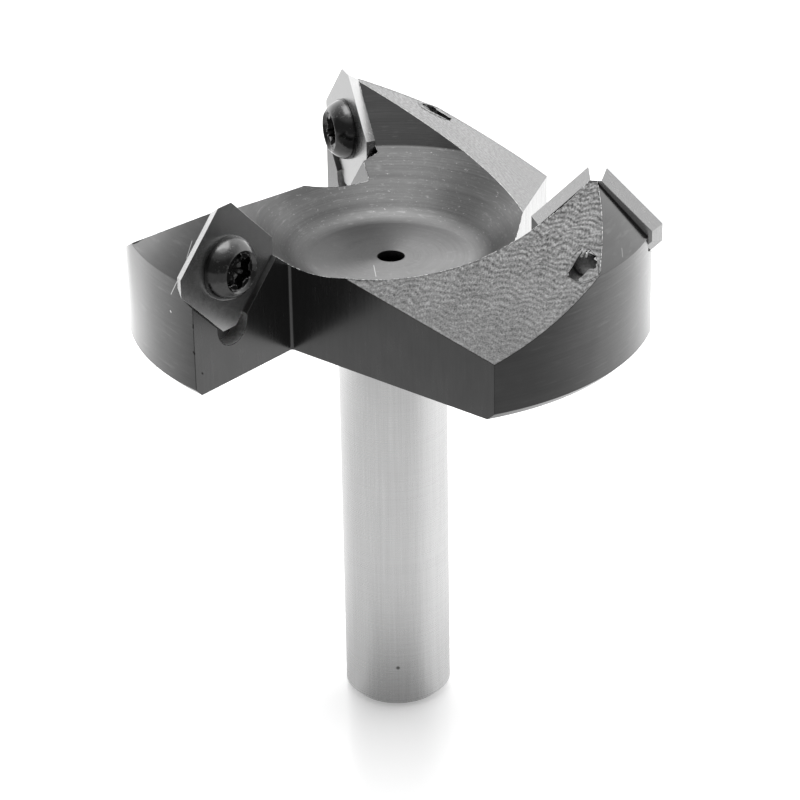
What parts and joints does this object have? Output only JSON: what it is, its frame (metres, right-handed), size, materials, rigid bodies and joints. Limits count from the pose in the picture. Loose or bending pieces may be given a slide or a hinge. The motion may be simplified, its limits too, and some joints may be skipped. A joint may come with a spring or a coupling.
{
  "type": "spoilboard surfacing bit",
  "caption": "Straight-shank surfacing bit with a wide winged head, a dished end and square inserts held by button-head screws.",
  "frame": {"origin": "centre of the shank's end face, on the tool's axis", "axes": "+Z along the axis to the cutting end, +X out along the first wing; the tool turns anticlockwise seen from +Z"},
  "size_m": [0.0621, 0.0565, 0.0709],
  "materials": {
    "cutter_steel": "satin",
    "carbide": "ground",
    "black_oxide": "satin"
  },
  "bodies": {
    "root": {"cutter_body": "cutter_steel", "insert_1": "carbide", "insert_2": "carbide", "insert_3": "carbide", "insert_screws": "black_oxide"}
  },
  "joints": []
}
